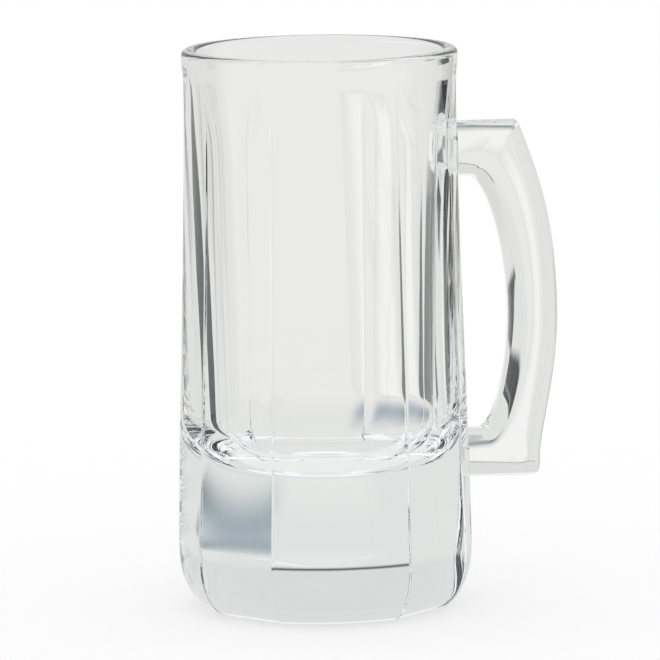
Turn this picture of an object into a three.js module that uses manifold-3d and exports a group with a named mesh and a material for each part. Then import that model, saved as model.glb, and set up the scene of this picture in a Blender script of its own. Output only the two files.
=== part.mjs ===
// A pressed-glass beer mug: a heavy panelled body with a round rim, and a D-shaped handle.
// Millimetres, +Z up. The handle points along +X, and a wide panel faces each of +X, -X, +Y and -Y.

import * as THREE from 'three';
import { mergeVertices } from 'three/addons/utils/BufferGeometryUtils.js';
import Module from 'manifold-3d';

// Outside of the body. The corner radius is measured to the edges where two panels meet.
const mugHeight = 152;
const footCornerRadius = 40.8;
const neckCornerRadius = 36.8;
const footHeight = 20;
const flareBend = 1.6;
const widePanelArc = 55;
const widePanelFlatness = 0.22;
const narrowNeckFlatness = 0.4;
const creaseBend = 5;
const panelFade = 16;
const footRoundWidth = 9;
const footRoundHeight = 10.5;
const puntRadius = 19;
const puntDepth = 5;

// Rim bead
const beadHeight = 9;
const beadProud = 0.5;
const rimWall = 4.2;
const lipRound = 1.6;

// Cavity
const baseThickness = 38;
const cavityFloorRadius = 30.5;
const floorRound = 15;

// Handle, in the plane y = 0. Reaches are measured from the body's axis.
const handleDrop = 21;
const handleLift = 34;
const upperArm = 14.5;
const lowerArm = 12.5;
const handleWidth = 18;
const edgeRound = 4.2;
const sideRound = 6.5;
const gripReach = 64;
const gripThickness = 13;
const gripPeak = 78;
const shoulderReach = 53.5;
const heelReach = 59;
const heelRound = 6;
const holeTopReach = 39.5;
const holeHeelReach = 42.5;
const seatGap = 0.3;

// Mesh resolution
const angleStep = 5;
const wallRings = 9;
const roundRings = 5;
const curvePoints = 9;

const quarterTurn = 90;
const narrowHalf = (quarterTurn - widePanelArc) / 2;
const beadBase = mugHeight - beadHeight;
const beadRadius = neckCornerRadius + beadProud;
const cavityMouthRadius = beadRadius - rimWall;

function radians(degrees) {
  return THREE.MathUtils.degToRad(degrees);
}

// Share of the full flare at a height: 0 under the bead, 1 from the foot block down.
function flareShare(z) {
  return THREE.MathUtils.clamp((beadBase - z) / (beadBase - footHeight), 0, 1);
}

function cornerRadius(z) {
  return neckCornerRadius + (footCornerRadius - neckCornerRadius) * flareShare(z) ** flareBend;
}

// How far a chord lies inside its circle, as a factor, at an angle from the chord's middle.
function chordFactor(angle, halfArc) {
  return Math.cos(radians(halfArc)) / Math.cos(radians(angle));
}

// Radius of a panelled ring. A flatness of 1 makes a panel a straight chord, and 0 leaves it round.
function panelledRadius(corner, angle, wideFlatness, narrowFlatness) {
  const fromWide = angle - quarterTurn * Math.round(angle / quarterTurn);
  const wideHalf = widePanelArc / 2;
  if (Math.abs(fromWide) <= wideHalf) {
    return corner * THREE.MathUtils.lerp(1, chordFactor(fromWide, wideHalf), wideFlatness);
  }
  const fromNarrow = quarterTurn / 2 - Math.abs(fromWide);
  return corner * THREE.MathUtils.lerp(1, chordFactor(fromNarrow, narrowHalf), narrowFlatness);
}

function roundRing(radius, z) {
  return { z, radiusAt: () => radius };
}

// A ring of the wall. At the foot narrow panels are flat and wide ones partly round.
// Both soften up the wall, and run out round under the bead.
function panelRing(z, inset = 0) {
  const corner = cornerRadius(z) - inset;
  const crease = flareShare(z) ** creaseBend;
  const fade = THREE.MathUtils.smoothstep(beadBase - z, 0, panelFade);
  const narrowFlatness = THREE.MathUtils.lerp(narrowNeckFlatness, 1, crease) * fade;
  const wideFlatness = widePanelFlatness * crease;
  return { z, radiusAt: (angle) => panelledRadius(corner, angle, wideFlatness, narrowFlatness) };
}

// Rings up the outside, from the standing ring to the top of the straight wall.
function outsideRings() {
  const rings = [];
  for (let i = 0; i <= roundRings; i += 1) {
    const turn = (Math.PI / 2) * (i / roundRings);
    rings.push(panelRing(footRoundHeight * (1 - Math.cos(turn)), footRoundWidth * (1 - Math.sin(turn))));
  }
  for (let i = 1; i <= wallRings; i += 1) {
    rings.push(panelRing(THREE.MathUtils.lerp(footRoundHeight, beadBase - panelFade, i / wallRings)));
  }
  rings.push(panelRing(beadBase - panelFade / 2));
  rings.push(panelRing(beadBase));
  return rings;
}

// Rings over the rim: the bead swells out, and the lip rolls over to the cavity's mouth.
function rimRings() {
  const rings = [];
  rings.push(roundRing(neckCornerRadius, beadBase + beadHeight / 6));
  rings.push(roundRing(beadRadius, beadBase + beadHeight / 2));
  for (let i = 0; i <= 2 * roundRings; i += 1) {
    const turn = Math.PI * (i / (2 * roundRings));
    const middle = i <= roundRings ? beadRadius - lipRound : cavityMouthRadius + lipRound;
    rings.push(roundRing(middle + lipRound * Math.cos(turn), mugHeight - lipRound * (1 - Math.sin(turn))));
  }
  return rings;
}

// Rings down the cavity: a tapered wall, then a rounded corner to the flat floor.
function cavityRings() {
  const rings = [];
  const wallFoot = baseThickness + floorRound;
  for (let i = 1; i <= wallRings; i += 1) {
    const share = i / wallRings;
    const z = THREE.MathUtils.lerp(mugHeight - lipRound, wallFoot, share);
    rings.push(roundRing(THREE.MathUtils.lerp(cavityMouthRadius, cavityFloorRadius, share), z));
  }
  for (let i = 1; i <= roundRings; i += 1) {
    const turn = (Math.PI / 2) * (i / roundRings);
    const radius = cavityFloorRadius - floorRound * (1 - Math.cos(turn));
    rings.push(roundRing(radius, wallFoot - floorRound * Math.sin(turn)));
  }
  return rings;
}

// Rings of the shallow dome under the foot, from near its middle out to the standing ring.
function puntRings() {
  const rings = [];
  for (let i = 1; i <= roundRings; i += 1) {
    const share = i / roundRings;
    rings.push(roundRing(puntRadius * share, puntDepth * (1 - share * share) ** 2));
  }
  return rings;
}

// Closed skin through a stack of rings, with a fan at each end on the axis.
function ringSkin(rings, startZ, endZ) {
  const steps = Math.round(360 / angleStep);
  const positions = [0, 0, startZ];
  for (const ring of rings) {
    for (let k = 0; k < steps; k += 1) {
      const angle = angleStep * (k + 0.5);
      const radius = ring.radiusAt(angle);
      positions.push(radius * Math.cos(radians(angle)), radius * Math.sin(radians(angle)), ring.z);
    }
  }
  const last = positions.length / 3;
  positions.push(0, 0, endZ);
  const index = [];
  for (let k = 0; k < steps; k += 1) {
    const next = (k + 1) % steps;
    index.push(0, 1 + next, 1 + k);
    for (let row = 0; row < rings.length - 1; row += 1) {
      const here = 1 + row * steps;
      const above = here + steps;
      index.push(here + k, here + next, above + next);
      index.push(here + k, above + next, above + k);
    }
    const top = 1 + (rings.length - 1) * steps;
    index.push(top + k, top + next, last);
  }
  const geometry = new THREE.BufferGeometry();
  geometry.setAttribute('position', new THREE.Float32BufferAttribute(positions, 3));
  geometry.setIndex(index);
  return geometry;
}

function bodyGeometry() {
  const rings = [...puntRings(), ...outsideRings(), ...rimRings(), ...cavityRings()];
  return ringSkin(rings, puntDepth, baseThickness);
}

// The body's outside, grown by the seat gap, that the handle's two pads are cut to.
function seatGeometry() {
  const rings = outsideRings().map((ring) => ({
    z: ring.z,
    radiusAt: (angle) => ring.radiusAt(angle) + seatGap,
  }));
  return ringSkin(rings, 0, beadBase);
}

// Side view of the handle, x outward and y up, with its arms run on into the body.
function handleOutline() {
  const top = mugHeight - handleDrop;
  const bottom = handleLift;
  const holeTop = top - upperArm;
  const holeBottom = bottom + lowerArm;
  const root = cavityMouthRadius;
  const holePeak = gripReach - gripThickness;
  const outline = new THREE.Shape();
  outline.moveTo(root, bottom);
  outline.lineTo(heelReach - heelRound, bottom);
  outline.quadraticCurveTo(heelReach, bottom, heelReach, bottom + heelRound);
  const heelTop = bottom + lowerArm;
  outline.bezierCurveTo(heelReach, heelTop, gripReach, (heelTop + gripPeak) / 2, gripReach, gripPeak);
  const shoulderRise = top - gripPeak;
  const shoulderControl = (shoulderReach + gripReach) / 2;
  outline.bezierCurveTo(
    gripReach, gripPeak + shoulderRise / 2,
    shoulderControl, top - shoulderRise / 4,
    shoulderReach, top,
  );
  outline.lineTo(root, top);
  outline.lineTo(root, holeTop);
  outline.lineTo(holeTopReach, holeTop);
  const holeRise = holeTop - gripPeak;
  const holeFall = gripPeak - holeBottom;
  outline.bezierCurveTo(
    (holeTopReach + holePeak) / 2, holeTop,
    holePeak, gripPeak + holeRise / 2,
    holePeak, gripPeak,
  );
  outline.bezierCurveTo(
    holePeak, gripPeak - holeFall / 2,
    (holeHeelReach + holePeak) / 2, holeBottom,
    holeHeelReach, holeBottom,
  );
  outline.lineTo(root, holeBottom);
  outline.closePath();
  return outline;
}

function solidFrom(wasm, geometry) {
  const bare = geometry.clone();
  bare.deleteAttribute('normal');
  bare.deleteAttribute('uv');
  const merged = mergeVertices(bare);
  return new wasm.Manifold(new wasm.Mesh({
    numProp: 3,
    vertProperties: merged.attributes.position.array,
    triVerts: Uint32Array.from(merged.index.array),
  }));
}

function geometryFrom(solid) {
  const mesh = solid.getMesh();
  const geometry = new THREE.BufferGeometry();
  geometry.setAttribute('position', new THREE.BufferAttribute(mesh.vertProperties, 3));
  geometry.setIndex(new THREE.BufferAttribute(mesh.triVerts, 1));
  return geometry;
}

function handleGeometry(wasm) {
  const blank = new THREE.ExtrudeGeometry(handleOutline(), {
    depth: handleWidth - 2 * sideRound,
    curveSegments: curvePoints,
    bevelEnabled: true,
    bevelThickness: sideRound,
    bevelSize: edgeRound,
    bevelOffset: -edgeRound,
    bevelSegments: roundRings - 1,
  });
  blank.translate(0, 0, sideRound - handleWidth / 2);
  blank.rotateX(Math.PI / 2);
  return geometryFrom(solidFrom(wasm, blank).subtract(solidFrom(wasm, seatGeometry())));
}

function glassMesh(name, geometry) {
  const glass = new THREE.MeshStandardMaterial({
    color: 0xe6f0f0,
    roughness: 0.04,
    metalness: 0,
    transparent: true,
    opacity: 0.35,
  });
  geometry.computeVertexNormals();
  const mesh = new THREE.Mesh(geometry, glass);
  mesh.name = name;
  return mesh;
}

const wasm = await Module();
wasm.setup();

const mug = new THREE.Group();
mug.add(glassMesh('mug_body', bodyGeometry()));
mug.add(glassMesh('handle', handleGeometry(wasm)));

// The mug stands on z = 0, with body and handle together centred over the origin.
const middle = new THREE.Box3().setFromObject(mug).getCenter(new THREE.Vector3());
mug.position.set(-middle.x, -middle.y, 0);
mug.updateMatrixWorld(true);

export default mug;
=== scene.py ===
import math

import bmesh
import bpy
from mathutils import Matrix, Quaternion, Vector


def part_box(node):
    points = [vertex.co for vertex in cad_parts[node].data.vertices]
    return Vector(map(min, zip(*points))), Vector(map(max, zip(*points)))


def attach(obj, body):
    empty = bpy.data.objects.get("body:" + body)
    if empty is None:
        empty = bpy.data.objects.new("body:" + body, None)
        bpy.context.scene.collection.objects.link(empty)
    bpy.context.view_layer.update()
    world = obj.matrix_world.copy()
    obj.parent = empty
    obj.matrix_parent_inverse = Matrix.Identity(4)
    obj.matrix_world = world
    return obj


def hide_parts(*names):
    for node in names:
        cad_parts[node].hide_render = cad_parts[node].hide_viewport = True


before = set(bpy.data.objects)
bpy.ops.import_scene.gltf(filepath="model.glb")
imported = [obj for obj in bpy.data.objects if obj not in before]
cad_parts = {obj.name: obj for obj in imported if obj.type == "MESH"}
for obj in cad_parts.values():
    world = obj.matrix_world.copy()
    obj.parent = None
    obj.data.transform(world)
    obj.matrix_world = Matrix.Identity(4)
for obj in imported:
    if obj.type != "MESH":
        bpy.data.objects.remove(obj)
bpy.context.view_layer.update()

# Outside of the body, in millimetres and degrees. A corner radius reaches the edge where two panels meet.
MUG_HEIGHT = 152.0
FOOT_CORNER_RADIUS = 40.8
NECK_CORNER_RADIUS = 36.8
FOOT_HEIGHT = 20.0
FLARE_BEND = 1.6
WIDE_PANEL_ARC = 55.0
WIDE_PANEL_FLATNESS = 0.22
NARROW_NECK_FLATNESS = 0.4
CREASE_BEND = 5.0
PANEL_FADE = 16.0
FOOT_ROUND_WIDTH = 9.5
FOOT_ROUND_HEIGHT = 15.0
PUNT_RADIUS = 19.0
PUNT_DEPTH = 5.0
CREASE_BLEND_ARC = 0.7
CREASE_RIDGE = 0.25
CREASE_RIDGE_ARC = 0.6

# Rim bead
BEAD_HEIGHT = 9.0
BEAD_PROUD = 0.5
BEAD_SWELL = 7.2
RIM_WALL = 4.2
LIP_ROUND = 1.6

# Cavity
BASE_THICKNESS = 38.0
CAVITY_FLOOR_RADIUS = 30.5
FLOOR_ROUND = 15.0

# Handle, in the plane y = 0. Reaches are measured from the body's axis.
HANDLE_DROP = 21.0
HANDLE_LIFT = 34.0
UPPER_ARM = 14.5
LOWER_ARM = 12.5
HANDLE_WIDTH = 18.0
EDGE_ROUND = 4.2
SIDE_ROUND = 6.5
GRIP_REACH = 64.0
GRIP_THICKNESS = 13.0
GRIP_PEAK = 78.0
SHOULDER_REACH = 53.5
HEEL_REACH = 59.0
HEEL_ROUND = 6.0
HOLE_TOP_REACH = 39.5
HOLE_HEEL_REACH = 42.5
SEAT_OVERLAP = 0.15
ROOT_DEPTH = 2.0

# Mesh resolution. Angles are in degrees.
CREASE_SAMPLES = 9
FOOT_STEPS = 14
WALL_STEPS = 40
RIM_STEPS = 10
CAVITY_STEPS = 30
FLOOR_ROUND_STEPS = 16
FLOOR_STEPS = 5
PUNT_STEPS = 16
RING_STEPS = 360
CREASE_STEPS = 12
CREASE_STEP_ARC = 0.12
ARM_STEPS = 12
HEEL_STEPS = 10
GRIP_STEPS = 30
EDGE_STEPS = 8
DISC_STEPS = 72
SHARP_ANGLE = 28.0

# Camera, fitted to the mug's outline: millimetres, degrees and pixels of the photo
CAMERA_DISTANCE = 1550.0
CAMERA_AZIMUTH = -6.8
RIM_ELEVATION = 5.8
CAMERA_ROLL = -0.7
MM_PER_PIXEL = 0.2715
IMAGE_SIDE = 660
SENSOR_WIDTH = 36.0
MID_HEIGHT_RIGHT_OF_CENTRE = -7.3
MID_HEIGHT_ABOVE_CENTRE = 3.7

# Bounces that a ray may take in the thick glass
BOUNCES = 24
GLOSSY_BOUNCES = 12

# Glass. Scales are per metre, heights in millimetres, and the size of a seed is a share of their spacing.
GLASS_IOR = 1.5
TINT = (0.75, 0.92, 0.97, 1.0)
TINT_DENSITY = 1.6
WAVE_SCALE = 45.0
WAVE_DETAIL = 1.0
WAVE_HEIGHT = 0.06
SEED_SCALE = 110.0
SEED_SIZE = 0.03
SEED_SHARE = 0.2
SEED_HEIGHT = 0.03

# Floor as the camera sees it, in metres
FLOOR_SIDE = 30.0
FLOOR_HEIGHT = -0.0004
SHADOW_STRENGTH = 0.4

# Studio as the glass sees it. Bearings run from +Y to +X and elevations from the horizon up, in degrees.
# Places and lengths on the floor are in metres.
NEAR_FLOOR_HEIGHT = -0.0006
HANDLE_FLOOR_HEIGHT = -0.0008
GROUND = (0.745, 0.75, 0.73, 1.0)
GROUND_MIDDLE = (0.80, 0.80, 0.78, 1.0)
MIDDLE_FROM = -1.0
MIDDLE_TO = 14.0
MIDDLE_SOFT = 5.0
SIDE_FLOOR = (0.85, 0.85, 0.83, 1.0)
SIDE_FROM = 75.0
SIDE_SOFT = 15.0
BACK_WALL = (0.70, 0.70, 0.69, 1.0)
BACK_WALL_FROM = 1.0
BACK_WALL_TO = 32.0
BACK_WALL_SOFT = 4.0
# Painted shadow of the mug on the floor close to it, deeper towards the higher bearings
SHADE = (0.25, 0.32, 0.37, 1.0)
SHADE_FROM = 14.0
SHADE_TO = 38.0
SHADE_SOFT = 4.0
DEEP_SHADE = (0.07, 0.10, 0.13, 1.0)
DEEP_SHADE_FROM = 31.0
DEEP_SHADE_SOFT = 12.0
SHADE_START = 0.1
SHADE_REACH = 0.155
SHADE_FADE = 0.08
NEAR_FLOOR_RADIUS = 0.215
HANDLE_FLOOR = (0.88, 0.88, 0.87, 1.0)
HANDLE_FLOOR_WIDTH = 0.06
HANDLE_FLOOR_SOFT = 0.02
HANDLE_FLOOR_START = 0.18
HANDLE_FLOOR_LENGTH = 1.05
HANDLE_FLOOR_END_SOFT = 0.4
DARK = (0.035, 0.038, 0.045, 1.0)

# Dark flags of the studio, each from one bearing to another and from one elevation to another
DARK_PATCHES = (
    (36.0, 60.0, -11.0, -4.5),
    (20.5, 38.0, -15.3, -11.0),
    (24.0, 38.0, -20.0, -15.3),
    (-13.0, 20.0, 0.2, 1.4),
)
DARK_SOFT = 1.4

# A dark card at the mug's left, a little behind its axis: millimetres, with the corners across and up
CARD_DISTANCE = 46.0
CARD_BEARING = -40.0
CARD_INNER_EDGE = ((-37, 5), (-33, 34), (-28.5, 62), (-20, 108), (-20, 146))
CARD_OUTER_EDGE = ((-30, 106), (-34, 84), (-38, 58), (-43, 5))

WHITE = (1.0, 1.0, 1.0, 1.0)
MM = 0.001
QUARTER_TURN = 90.0
FULL_TURN = 4 * QUARTER_TURN
NARROW_HALF = (QUARTER_TURN - WIDE_PANEL_ARC) / 2
BEAD_BASE = MUG_HEIGHT - BEAD_HEIGHT
BEAD_RADIUS = NECK_CORNER_RADIUS + BEAD_PROUD
CAVITY_MOUTH_RADIUS = BEAD_RADIUS - RIM_WALL

body_low, body_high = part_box("mug_body")
AXIS_X = (body_low[0] + body_high[0]) / 2


def lerp(start, end, share):
    return start + (end - start) * share


def smooth(share):
    return share * share * (3 - 2 * share)


def flare_share(z):
    """Share of the full flare at a height: 0 under the bead, 1 from the foot block down."""
    return min(1.0, max(0.0, (BEAD_BASE - z) / (BEAD_BASE - FOOT_HEIGHT)))


def corner_radius(z):
    return lerp(NECK_CORNER_RADIUS, FOOT_CORNER_RADIUS, flare_share(z) ** FLARE_BEND)


def chord_factor(angle, half_arc):
    """How far a chord lies inside its circle, as a factor, at an angle from the chord's middle."""
    return math.cos(math.radians(half_arc)) / math.cos(math.radians(angle))


def panel_radius(corner, angle, wide_flatness, narrow_flatness):
    """Radius of a panelled ring. A flatness of 1 makes a panel straight, and 0 leaves it round."""
    from_wide = angle - QUARTER_TURN * round(angle / QUARTER_TURN)
    wide_half = WIDE_PANEL_ARC / 2
    if abs(from_wide) <= wide_half:
        return corner * lerp(1.0, chord_factor(from_wide, wide_half), wide_flatness)
    from_narrow = QUARTER_TURN / 2 - abs(from_wide)
    return corner * lerp(1.0, chord_factor(from_narrow, NARROW_HALF), narrow_flatness)


def soft_panel_radius(corner, angle, wide_flatness, narrow_flatness):
    """Panel radius with each crease rounded, by averaging nearby angles, and a fine ridge along it."""
    total = 0.0
    for i in range(CREASE_SAMPLES):
        offset = CREASE_BLEND_ARC * (2 * (i + 0.5) / CREASE_SAMPLES - 1)
        total += panel_radius(corner, angle + offset, wide_flatness, narrow_flatness)
    from_wide = angle - QUARTER_TURN * round(angle / QUARTER_TURN)
    from_crease = abs(from_wide) - WIDE_PANEL_ARC / 2
    ridge = CREASE_RIDGE * narrow_flatness * math.exp(-(from_crease / CREASE_RIDGE_ARC) ** 2)
    return total / CREASE_SAMPLES + ridge


def round_ring(radius, z):
    return z, lambda angle: radius


def panel_ring(z, inset=0.0):
    """Ring of the wall. The panels are flattest at the foot and run out round under the bead."""
    corner = corner_radius(z) - inset
    crease = flare_share(z) ** CREASE_BEND
    fade = smooth(min(1.0, (BEAD_BASE - z) / PANEL_FADE))
    narrow_flatness = lerp(NARROW_NECK_FLATNESS, 1.0, crease) * fade
    wide_flatness = WIDE_PANEL_FLATNESS * crease
    return z, lambda angle: soft_panel_radius(corner, angle, wide_flatness, narrow_flatness)


def outside_rings():
    """Rings up the outside, from the standing ring to the bead."""
    rings = []
    for i in range(FOOT_STEPS + 1):
        turn = math.pi / 2 * i / FOOT_STEPS
        inset = FOOT_ROUND_WIDTH * (1 - math.sin(turn))
        rings.append(panel_ring(FOOT_ROUND_HEIGHT * (1 - math.cos(turn)), inset))
    for i in range(1, WALL_STEPS + 1):
        rings.append(panel_ring(lerp(FOOT_ROUND_HEIGHT, BEAD_BASE, i / WALL_STEPS)))
    return rings


def rim_rings():
    """Rings over the rim: the bead swells out, and the lip rolls over to the cavity's mouth."""
    rings = []
    for i in range(1, RIM_STEPS + 1):
        share = i / RIM_STEPS
        radius = lerp(NECK_CORNER_RADIUS, BEAD_RADIUS, smooth(share))
        rings.append(round_ring(radius, BEAD_BASE + BEAD_SWELL * share))
    for i in range(2 * RIM_STEPS + 1):
        turn = math.pi * i / (2 * RIM_STEPS)
        middle = BEAD_RADIUS - LIP_ROUND if i <= RIM_STEPS else CAVITY_MOUTH_RADIUS + LIP_ROUND
        z = MUG_HEIGHT - LIP_ROUND * (1 - math.sin(turn))
        rings.append(round_ring(middle + LIP_ROUND * math.cos(turn), z))
    return rings


def cavity_rings():
    """Rings down the cavity: a tapered wall, a rounded corner and the flat floor."""
    rings = []
    wall_foot = BASE_THICKNESS + FLOOR_ROUND
    for i in range(1, CAVITY_STEPS + 1):
        share = i / CAVITY_STEPS
        z = lerp(MUG_HEIGHT - LIP_ROUND, wall_foot, share)
        rings.append(round_ring(lerp(CAVITY_MOUTH_RADIUS, CAVITY_FLOOR_RADIUS, share), z))
    for i in range(1, FLOOR_ROUND_STEPS + 1):
        turn = math.pi / 2 * i / FLOOR_ROUND_STEPS
        radius = CAVITY_FLOOR_RADIUS - FLOOR_ROUND * (1 - math.cos(turn))
        rings.append(round_ring(radius, wall_foot - FLOOR_ROUND * math.sin(turn)))
    for i in range(1, FLOOR_STEPS):
        radius = (CAVITY_FLOOR_RADIUS - FLOOR_ROUND) * (1 - i / FLOOR_STEPS)
        rings.append(round_ring(radius, BASE_THICKNESS))
    return rings


def punt_rings():
    """Rings of the shallow dome under the foot, from near its middle to the standing ring."""
    shares = [i / PUNT_STEPS for i in range(1, PUNT_STEPS + 1)]
    return [round_ring(PUNT_RADIUS * s, PUNT_DEPTH * (1 - s * s) ** 2) for s in shares]


def ring_angles():
    """Angles around the axis, evenly spread, with more of them close to each crease."""
    angles = set()
    for i in range(RING_STEPS):
        angles.add(FULL_TURN * (i + 0.5) / RING_STEPS)
    for quarter in range(4):
        for side in (-1, 1):
            corner = QUARTER_TURN * quarter + side * WIDE_PANEL_ARC / 2
            for i in range(-CREASE_STEPS, CREASE_STEPS + 1):
                angles.add((corner + CREASE_STEP_ARC * i) % FULL_TURN)
    return sorted(angles)


def smooth_piece(name, points, faces):
    mesh = bpy.data.meshes.new(name)
    mesh.from_pydata(points, [], faces)
    mesh.polygons.foreach_set("use_smooth", [True] * len(mesh.polygons))
    mesh.update()
    piece = bpy.data.objects.new(name, mesh)
    bpy.context.scene.collection.objects.link(piece)
    return piece


def ring_skin(name, rings, start_z, end_z):
    """Closed skin through a stack of rings, with a fan at each end on the axis."""
    angles = ring_angles()
    turns = [(math.cos(math.radians(a)), math.sin(math.radians(a))) for a in angles]
    count = len(angles)
    points = [(AXIS_X, 0.0, start_z * MM)]
    for z, radius_at in rings:
        for angle, (c, s) in zip(angles, turns):
            radius = radius_at(angle) * MM
            points.append((AXIS_X + radius * c, radius * s, z * MM))
    last = len(points)
    points.append((AXIS_X, 0.0, end_z * MM))
    faces = []
    for k in range(count):
        after = (k + 1) % count
        faces.append((0, 1 + after, 1 + k))
        for row in range(len(rings) - 1):
            here = 1 + row * count
            above = here + count
            faces.append((here + k, here + after, above + after, above + k))
        top = 1 + (len(rings) - 1) * count
        faces.append((top + k, top + after, last))
    return smooth_piece(name, points, faces)


def make_body():
    rings = punt_rings() + outside_rings() + rim_rings() + cavity_rings()
    return ring_skin("glass_body", rings, PUNT_DEPTH, BASE_THICKNESS)


def bezier(start, lead, trail, end, steps):
    points = []
    controls = (start, lead, trail, end)
    for i in range(steps + 1):
        t = i / steps
        u = 1 - t
        weights = (u ** 3, 3 * u * u * t, 3 * u * t * t, t ** 3)
        points.append(tuple(sum(w * p[k] for w, p in zip(weights, controls)) for k in (0, 1)))
    return points


def line(start, end, steps):
    shares = [i / steps for i in range(steps + 1)]
    return [(lerp(start[0], end[0], share), lerp(start[1], end[1], share)) for share in shares]


def joined(*runs):
    points = [runs[0][0]]
    for run in runs:
        points += run[1:]
    return points


def handle_paths():
    """Side view of the handle: its outside and its hole, with the same count of points along both."""
    top = MUG_HEIGHT - HANDLE_DROP
    bottom = HANDLE_LIFT
    hole_top = top - UPPER_ARM
    hole_bottom = bottom + LOWER_ARM
    root = CAVITY_MOUTH_RADIUS - ROOT_DEPTH
    hole_peak = GRIP_REACH - GRIP_THICKNESS
    heel_start = (HEEL_REACH - HEEL_ROUND, bottom)
    heel_end = (HEEL_REACH, bottom + HEEL_ROUND)
    heel = (HEEL_REACH, bottom)
    peak = (GRIP_REACH, GRIP_PEAK)
    shoulder = (SHOULDER_REACH, top)
    rise = top - GRIP_PEAK
    control = ((SHOULDER_REACH + GRIP_REACH) / 2, top - rise / 4)
    grip_lead = (HEEL_REACH, hole_bottom)
    grip_trail = (GRIP_REACH, (hole_bottom + GRIP_PEAK) / 2)
    outer = joined(
        line((root, bottom), heel_start, ARM_STEPS),
        bezier(heel_start, heel, heel, heel_end, HEEL_STEPS),
        bezier(heel_end, grip_lead, grip_trail, peak, GRIP_STEPS),
        bezier(peak, (GRIP_REACH, GRIP_PEAK + rise / 2), control, shoulder, GRIP_STEPS),
        line(shoulder, (root, top), ARM_STEPS),
    )
    hole_rise = hole_top - GRIP_PEAK
    hole_fall = GRIP_PEAK - hole_bottom
    heel_corner = (HOLE_HEEL_REACH, hole_bottom)
    top_corner = (HOLE_TOP_REACH, hole_top)
    hole_point = (hole_peak, GRIP_PEAK)
    lower_lead = ((HOLE_HEEL_REACH + hole_peak) / 2, hole_bottom)
    lower_trail = (hole_peak, GRIP_PEAK - hole_fall / 2)
    upper_lead = (hole_peak, GRIP_PEAK + hole_rise / 2)
    upper_trail = ((HOLE_TOP_REACH + hole_peak) / 2, hole_top)
    hole = joined(
        line((root, hole_bottom), heel_corner, ARM_STEPS),
        bezier(heel_corner, lower_lead, lower_trail, hole_point, HEEL_STEPS + GRIP_STEPS),
        bezier(hole_point, upper_lead, upper_trail, top_corner, GRIP_STEPS),
        line(top_corner, (root, hole_top), ARM_STEPS),
    )
    return outer, hole


def section_points(thickness):
    """Rounded rectangle of the handle, as pairs of share from hole to outside and place across."""
    half = HANDLE_WIDTH / 2
    points = []
    for corner in range(4):
        middle_depth = EDGE_ROUND if corner in (1, 2) else thickness - EDGE_ROUND
        middle_across = half - SIDE_ROUND if corner < 2 else SIDE_ROUND - half
        for i in range(EDGE_STEPS + 1):
            turn = math.pi / 2 * (corner + i / EDGE_STEPS)
            depth = middle_depth + EDGE_ROUND * math.cos(turn)
            points.append((depth / thickness, middle_across + SIDE_ROUND * math.sin(turn)))
    return points


def make_handle():
    """The handle's rounded section, run along both paths from inside the body and back."""
    outer, hole = handle_paths()
    points = []
    for (outer_x, outer_z), (hole_x, hole_z) in zip(outer, hole):
        thickness = math.hypot(outer_x - hole_x, outer_z - hole_z)
        for share, across in section_points(thickness):
            x = lerp(hole_x, outer_x, share)
            z = lerp(hole_z, outer_z, share)
            points.append((AXIS_X + x * MM, across * MM, z * MM))
    count = 4 * (EDGE_STEPS + 1)
    faces = [tuple(range(count))]
    for row in range(len(outer) - 1):
        for k in range(count):
            after = (k + 1) % count
            here = row * count
            above = here + count
            faces.append((here + k, above + k, above + after, here + after))
    faces.append(tuple(reversed(range((len(outer) - 1) * count, len(outer) * count))))
    return smooth_piece("glass_handle", points, faces)


def turn_outward(piece):
    bm = bmesh.new()
    bm.from_mesh(piece.data)
    bmesh.ops.recalc_face_normals(bm, faces=bm.faces)
    if bm.calc_volume(signed=True) < 0:
        bmesh.ops.reverse_faces(bm, faces=bm.faces)
    bm.to_mesh(piece.data)
    bm.free()


def cut(piece, cutter):
    """Takes the cutter's volume out of the piece and removes the cutter."""
    modifier = piece.modifiers.new("seat", "BOOLEAN")
    modifier.operation = "DIFFERENCE"
    modifier.solver = "EXACT"
    modifier.object = cutter
    depsgraph = bpy.context.evaluated_depsgraph_get()
    mesh = bpy.data.meshes.new_from_object(piece.evaluated_get(depsgraph))
    piece.modifiers.clear()
    piece.data = mesh
    bpy.data.objects.remove(cutter)


body = make_body()
turn_outward(body)

# The handle is cut to the body's outside, a little deeper, so that the two glass pieces overlap
seat_rings = []
for z, radius_at in outside_rings():
    seat_rings.append((z, lambda angle, at=radius_at: at(angle) - SEAT_OVERLAP))
seat = ring_skin("seat_cutter", seat_rings, 0.0, BEAD_BASE)
turn_outward(seat)
handle = make_handle()
turn_outward(handle)
cut(handle, seat)
for piece in (body, handle):
    piece.data.set_sharp_from_angle(angle=math.radians(SHARP_ANGLE))


# Node builders that work on whichever tree is current
tree = None


def node(kind):
    return tree.nodes.new(kind)


def link(value, socket):
    if isinstance(value, (int, float, tuple)):
        socket.default_value = value
    else:
        tree.links.new(value, socket)


def math_node(operation, *values):
    made = node("ShaderNodeMath")
    made.operation = operation
    for socket, value in zip(made.inputs, values):
        link(value, socket)
    return made.outputs["Value"]


def step_node(value, middle, soft):
    """0 below the middle and 1 above it, with a soft edge."""
    made = node("ShaderNodeMapRange")
    made.interpolation_type = "SMOOTHSTEP"
    link(value, made.inputs["Value"])
    link(middle - soft / 2, made.inputs["From Min"])
    link(middle + soft / 2, made.inputs["From Max"])
    return made.outputs["Result"]


def band_node(value, start, end, soft):
    """1 from start to end and 0 elsewhere, with soft edges."""
    return math_node("SUBTRACT", step_node(value, start, soft), step_node(value, end, soft))


def mix_node(factor, low, high):
    made = node("ShaderNodeMix")
    made.data_type = "RGBA"
    link(factor, made.inputs["Factor"])
    link(low, made.inputs["A"])
    link(high, made.inputs["B"])
    return made.outputs["Result"]


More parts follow.
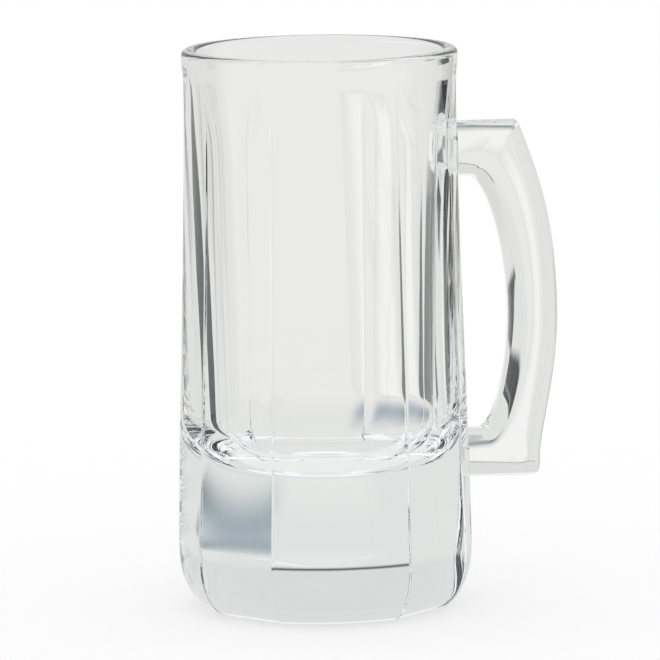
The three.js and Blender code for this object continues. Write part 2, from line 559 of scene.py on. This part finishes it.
def split_node(vector):
    made = node("ShaderNodeSeparateXYZ")
    link(vector, made.inputs["Vector"])
    return made.outputs["X"], made.outputs["Y"], made.outputs["Z"]


def bearing_node(x, y):
    return math_node("DEGREES", math_node("ARCTAN2", x, y))


def glowing_paper(card, name):
    """Gives a card a material that only glows. Makes its tree current and returns its colour socket."""
    global tree
    material = bpy.data.materials.new(name)
    material.use_nodes = True
    tree = material.node_tree
    tree.nodes.remove(tree.nodes["Principled BSDF"])
    glow = node("ShaderNodeEmission")
    link(glow.outputs["Emission"], tree.nodes["Material Output"].inputs["Surface"])
    card.data.materials.append(material)
    return glow.inputs["Color"]


def glass_material(name):
    """Clear glass with a faint tint, slow waves left by pressing, and a few tiny seeds on it."""
    global tree
    material = bpy.data.materials.new(name)
    material.use_nodes = True
    tree = material.node_tree
    shader = tree.nodes["Principled BSDF"]
    shader.inputs["Base Color"].default_value = WHITE
    shader.inputs["Roughness"].default_value = 0.0
    shader.inputs["IOR"].default_value = GLASS_IOR
    shader.inputs["Transmission Weight"].default_value = 1.0
    place = node("ShaderNodeTexCoord").outputs["Object"]
    waves = node("ShaderNodeTexNoise")
    link(place, waves.inputs["Vector"])
    waves.inputs["Scale"].default_value = WAVE_SCALE
    waves.inputs["Detail"].default_value = WAVE_DETAIL
    seeds = node("ShaderNodeTexVoronoi")
    link(place, seeds.inputs["Vector"])
    seeds.inputs["Scale"].default_value = SEED_SCALE
    hue = node("ShaderNodeSeparateColor")
    link(seeds.outputs["Color"], hue.inputs["Color"])
    chosen = math_node("GREATER_THAN", hue.outputs["Red"], 1.0 - SEED_SHARE)
    near = math_node("SUBTRACT", 1.0, step_node(seeds.outputs["Distance"], SEED_SIZE, SEED_SIZE))
    wave_height = math_node("MULTIPLY", waves.outputs["Fac"], WAVE_HEIGHT)
    seed_height = math_node("MULTIPLY", math_node("MULTIPLY", near, chosen), SEED_HEIGHT)
    bump = node("ShaderNodeBump")
    bump.inputs["Distance"].default_value = MM
    link(math_node("ADD", wave_height, seed_height), bump.inputs["Height"])
    link(bump.outputs["Normal"], shader.inputs["Normal"])
    tint = node("ShaderNodeVolumeAbsorption")
    tint.inputs["Color"].default_value = TINT
    tint.inputs["Density"].default_value = TINT_DENSITY
    link(tint.outputs["Volume"], tree.nodes["Material Output"].inputs["Volume"])
    return material


for piece, material_name in ((body, "clear_glass_body"), (handle, "clear_glass_handle")):
    piece.data.materials.clear()
    piece.data.materials.append(glass_material(material_name))

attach(body, "root")
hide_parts("mug_body")
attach(handle, "root")
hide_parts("handle")


def flat_stage(name, centre, corners):
    """A flat card of the studio, which isn't part of the mug."""
    mesh = bpy.data.meshes.new(name)
    mesh.from_pydata([(x, y, 0.0) for x, y in corners], [], [tuple(range(len(corners)))])
    card = bpy.data.objects.new(name, mesh)
    card.location = centre
    bpy.context.scene.collection.objects.link(card)
    return card


def sheet(name, centre, width, length):
    corners = [(-1, -1), (1, -1), (1, 1), (-1, 1)]
    return flat_stage(name, centre, [(x * width / 2, y * length / 2) for x, y in corners])


def disc(name, centre, radius):
    turns = [2 * math.pi * i / DISC_STEPS for i in range(DISC_STEPS)]
    corners = [(radius * math.cos(turn), radius * math.sin(turn)) for turn in turns]
    return flat_stage(name, centre, corners)


def seen_in_glass_only(card):
    card.visible_camera = False
    card.visible_diffuse = False
    card.visible_shadow = False


# Floor: white to the camera, with the mug's soft shadow
floor = sheet("floor", (0, 0, FLOOR_HEIGHT), FLOOR_SIDE, FLOOR_SIDE)
material = bpy.data.materials.new("floor_paper")
material.use_nodes = True
tree = material.node_tree
paper = tree.nodes["Principled BSDF"]
paper.inputs["Base Color"].default_value = WHITE
paper.inputs["Roughness"].default_value = 1.0
paper.inputs["Specular IOR Level"].default_value = 0.0
glow = node("ShaderNodeEmission")
path = node("ShaderNodeLightPath")
blend = node("ShaderNodeMixShader")
glow_share = math_node("MULTIPLY", path.outputs["Is Camera Ray"], 1.0 - SHADOW_STRENGTH)
link(glow_share, blend.inputs["Fac"])
link(paper.outputs["BSDF"], blend.inputs[1])
link(glow.outputs["Emission"], blend.inputs[2])
link(blend.outputs["Shader"], tree.nodes["Material Output"].inputs["Surface"])
floor.data.materials.append(material)
floor.visible_transmission = False
floor.visible_glossy = False

# The floor close to the mug as the glass sees it, with the mug's soft blue-grey shadow painted on it
# behind the mug
near_floor = disc("near_floor", (AXIS_X, 0, NEAR_FLOOR_HEIGHT), NEAR_FLOOR_RADIUS)
seen_in_glass_only(near_floor)
paper_colour = glowing_paper(near_floor, "near_floor_paper")
place = node("ShaderNodeTexCoord").outputs["Object"]
place_x, place_y = split_node(place)[:2]
bearing = bearing_node(place_x, place_y)
length = node("ShaderNodeVectorMath")
length.operation = "LENGTH"
link(place, length.inputs[0])
reach = length.outputs["Value"]
past_shade = step_node(reach, SHADE_REACH, SHADE_FADE)
# Painted shadow: blue-grey, deeper towards the higher bearings, only between its start and reach
shade = mix_node(step_node(bearing, DEEP_SHADE_FROM, DEEP_SHADE_SOFT), SHADE, DEEP_SHADE)
shade = mix_node(band_node(reach, SHADE_START, SHADE_REACH, SHADE_FADE), GROUND, shade)
in_middle = band_node(bearing, MIDDLE_FROM, MIDDLE_TO, MIDDLE_SOFT)
colour = mix_node(math_node("MULTIPLY", in_middle, past_shade), GROUND, GROUND_MIDDLE)
side = mix_node(past_shade, SIDE_FLOOR, WHITE)
colour = mix_node(step_node(math_node("ABSOLUTE", bearing), SIDE_FROM, SIDE_SOFT), colour, side)
colour = mix_node(band_node(bearing, SHADE_FROM, SHADE_TO, SHADE_SOFT), colour, shade)
link(colour, paper_colour)

# A lit strip of floor behind the handle, with soft sides and a soft far end
strip_bearing = math.radians(-CAMERA_AZIMUTH)
strip_middle = HANDLE_FLOOR_START + HANDLE_FLOOR_LENGTH / 2
handle_middle = AXIS_X + (HOLE_TOP_REACH + GRIP_REACH) / 2 * MM
strip_x = handle_middle + strip_middle * math.sin(strip_bearing)
strip_y = strip_middle * math.cos(strip_bearing)
strip_place = (strip_x, strip_y, HANDLE_FLOOR_HEIGHT)
handle_floor = sheet("handle_floor", strip_place, HANDLE_FLOOR_WIDTH, HANDLE_FLOOR_LENGTH)
handle_floor.rotation_euler = (0.0, 0.0, -strip_bearing)
seen_in_glass_only(handle_floor)
paper_colour = glowing_paper(handle_floor, "handle_floor_paper")
place_x, place_y = split_node(node("ShaderNodeTexCoord").outputs["Object"])[:2]
off_middle = math_node("ABSOLUTE", place_x)
side_edge = step_node(off_middle, (HANDLE_FLOOR_WIDTH - HANDLE_FLOOR_SOFT) / 2, HANDLE_FLOOR_SOFT)
end_middle = (HANDLE_FLOOR_LENGTH - HANDLE_FLOOR_END_SOFT) / 2
far_edge = step_node(place_y, end_middle, HANDLE_FLOOR_END_SOFT)
link(mix_node(math_node("MAXIMUM", side_edge, far_edge), HANDLE_FLOOR, GROUND), paper_colour)

# The dark card at the mug's left, which makes the dark band along that side
card_bearing = math.radians(CARD_BEARING)
card_x = AXIS_X + CARD_DISTANCE * MM * math.sin(card_bearing)
card_y = CARD_DISTANCE * MM * math.cos(card_bearing)
card_corners = [(across * MM, height * MM) for across, height in CARD_INNER_EDGE + CARD_OUTER_EDGE]
card = flat_stage("dark_card", (card_x, card_y, 0), card_corners)
card.rotation_euler = (math.pi / 2, 0.0, -card_bearing)
seen_in_glass_only(card)
card.visible_glossy = False
link(DARK, glowing_paper(card, "dark_card_paper"))

# World: the darker studio to the glass, and plain white to everything else
world = bpy.data.worlds.new("studio")
bpy.context.scene.world = world
world.use_nodes = True
tree = world.node_tree
ray_x, ray_y, ray_z = split_node(node("ShaderNodeTexCoord").outputs["Generated"])
bearing = bearing_node(ray_x, ray_y)
elevation = math_node("DEGREES", math_node("ARCSINE", ray_z))
colour = mix_node(band_node(bearing, MIDDLE_FROM, MIDDLE_TO, MIDDLE_SOFT), GROUND, GROUND_MIDDLE)
colour = mix_node(step_node(elevation, BACK_WALL_FROM, BACK_WALL_SOFT), colour, BACK_WALL)
colour = mix_node(step_node(math_node("ABSOLUTE", bearing), SIDE_FROM, SIDE_SOFT), colour, WHITE)
colour = mix_node(step_node(elevation, BACK_WALL_TO, BACK_WALL_SOFT), colour, WHITE)
for from_bearing, to_bearing, from_elevation, to_elevation in DARK_PATCHES:
    across = band_node(bearing, from_bearing, to_bearing, DARK_SOFT)
    upright = band_node(elevation, from_elevation, to_elevation, DARK_SOFT)
    colour = mix_node(math_node("MULTIPLY", across, upright), colour, DARK)
path = node("ShaderNodeLightPath")
seen_in_glass = math_node("MAXIMUM", path.outputs["Is Transmission Ray"], path.outputs["Is Glossy Ray"])
colour = mix_node(seen_in_glass, WHITE, colour)
link(colour, tree.nodes["Background"].inputs["Color"])
tree.nodes["Background"].inputs["Strength"].default_value = 1.0

# Camera
azimuth = math.radians(CAMERA_AZIMUTH)
stand = Vector((AXIS_X, 0.0, 0.0))
camera_height = MUG_HEIGHT + CAMERA_DISTANCE * math.tan(math.radians(RIM_ELEVATION))
camera_x = math.sin(azimuth) * CAMERA_DISTANCE
camera_y = -math.cos(azimuth) * CAMERA_DISTANCE
camera_place = stand + Vector((camera_x, camera_y, camera_height)) * MM
middle = stand + Vector((0, 0, MUG_HEIGHT / 2 * MM))
away = (middle - camera_place).normalized()
right = away.cross(Vector((0, 0, 1))).normalized()
up = right.cross(away)
pixel = MM_PER_PIXEL * MM
aim = middle - right * (MID_HEIGHT_RIGHT_OF_CENTRE * pixel)
aim -= up * (MID_HEIGHT_ABOVE_CENTRE * pixel)
camera_data = bpy.data.cameras.new("camera")
camera = bpy.data.objects.new("camera", camera_data)
bpy.context.scene.collection.objects.link(camera)
camera.location = camera_place
track = (aim - camera_place).to_track_quat("-Z", "Y")
camera.rotation_euler = (track @ Quaternion((0, 0, 1), math.radians(CAMERA_ROLL))).to_euler()
camera_data.sensor_width = SENSOR_WIDTH
camera_data.lens = SENSOR_WIDTH * (middle - camera_place).length / (IMAGE_SIDE * pixel)
bpy.context.scene.camera = camera

scene = bpy.context.scene
scene.view_settings.view_transform = "Standard"
scene.cycles.max_bounces = BOUNCES
scene.cycles.transmission_bounces = BOUNCES
scene.cycles.glossy_bounces = GLOSSY_BOUNCES
